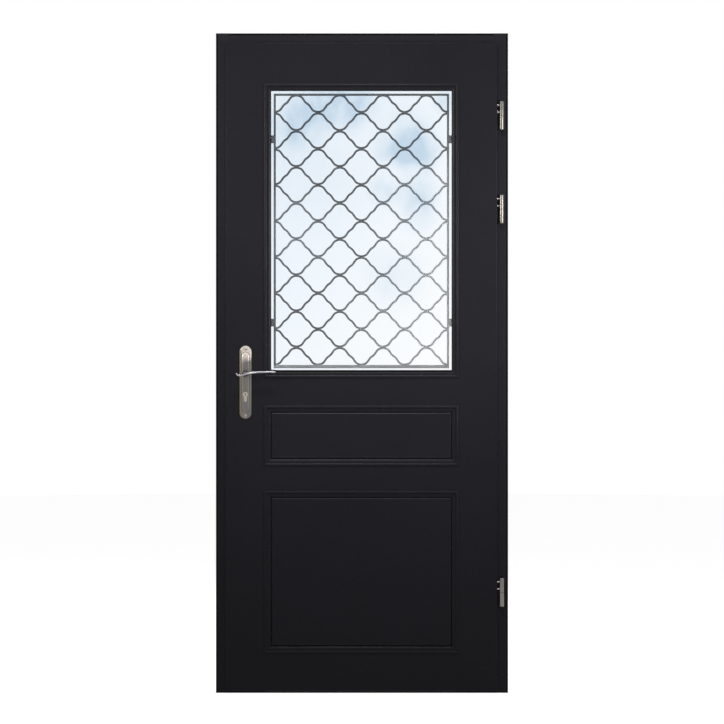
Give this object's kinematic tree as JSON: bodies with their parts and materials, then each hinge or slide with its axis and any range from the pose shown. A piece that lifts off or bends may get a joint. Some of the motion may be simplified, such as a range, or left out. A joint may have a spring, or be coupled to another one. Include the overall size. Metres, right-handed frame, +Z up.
{
  "type": "glazed wooden front door in its frame",
  "caption": "Dark painted wooden front door in its frame: glazed above behind a wave grille, raised panels below, lever handle, barrel hinges.",
  "frame": {"origin": "middle of the door frame's underside, on the threshold's flat base, half way through the frame's depth", "axes": "+Z up, +X towards the hinges, -Y towards the inside of the house, where the leaf swings"},
  "size_m": [0.97, 0.152, 2.19],
  "materials": {
    "painted_wood": "satin dark grey paint on wood",
    "satin_nickel": "satin nickel plate",
    "mill_aluminium": "mill aluminium",
    "black_rubber": "soft black seal",
    "clear_glass": "clear float glass, slightly blue",
    "painted_iron": "satin dark grey paint on steel",
    "plated_brass": "nickel-plated brass",
    "plain_steel": "plain steel"
  },
  "bodies": {
    "frame": {"frame_lock_jamb": "painted_wood", "frame_hinge_jamb": "painted_wood", "frame_head": "painted_wood", "threshold": "mill_aluminium", "frame_seal": "black_rubber", "strike_plate": "satin_nickel", "top_hinge_frame_half": "satin_nickel", "middle_hinge_frame_half": "satin_nickel", "bottom_hinge_frame_half": "satin_nickel"},
    "leaf": {"lock_stile": "painted_wood", "hinge_stile": "painted_wood", "top_rail": "painted_wood", "lock_rail": "painted_wood", "middle_rail": "painted_wood", "bottom_rail": "painted_wood", "small_panel": "painted_wood", "lower_panel": "painted_wood", "glass_inside_moulding": "painted_wood", "glass_outside_moulding": "painted_wood", "small_panel_inside_moulding": "painted_wood", "small_panel_outside_moulding": "painted_wood", "lower_panel_inside_moulding": "painted_wood", "lower_panel_outside_moulding": "painted_wood", "inner_pane": "clear_glass", "outer_pane": "clear_glass", "glass_spacer": "mill_aluminium", "grille": "painted_iron", "grille_lugs": "painted_iron", "lock_faceplate": "satin_nickel", "lock_bolts": "satin_nickel", "lock_cylinder": "plated_brass", "inside_plate": "satin_nickel", "outside_plate": "satin_nickel", "top_hinge_leaf_half": "satin_nickel", "middle_hinge_leaf_half": "satin_nickel", "bottom_hinge_leaf_half": "satin_nickel", "weather_bar": "painted_wood"},
    "handle": {"inside_lever": "satin_nickel", "outside_lever": "satin_nickel", "spindle": "plain_steel"}
  },
  "joints": [
    {"name": "leaf_swing", "type": "hinge", "parent": "frame", "child": "leaf", "pos_m": [0.463, -0.042, 0.335], "axis": [0, 0, 1], "range_deg": [0, 100]},
    {"name": "handle_turn", "type": "hinge", "parent": "leaf", "child": "handle", "pos_m": [-0.386, -0.026, 1.062], "axis": [0, 1, 0], "range_deg": [0, 40], "stiffness_Nm_per_rad": 1, "springref_deg": -34.38}
  ]
}
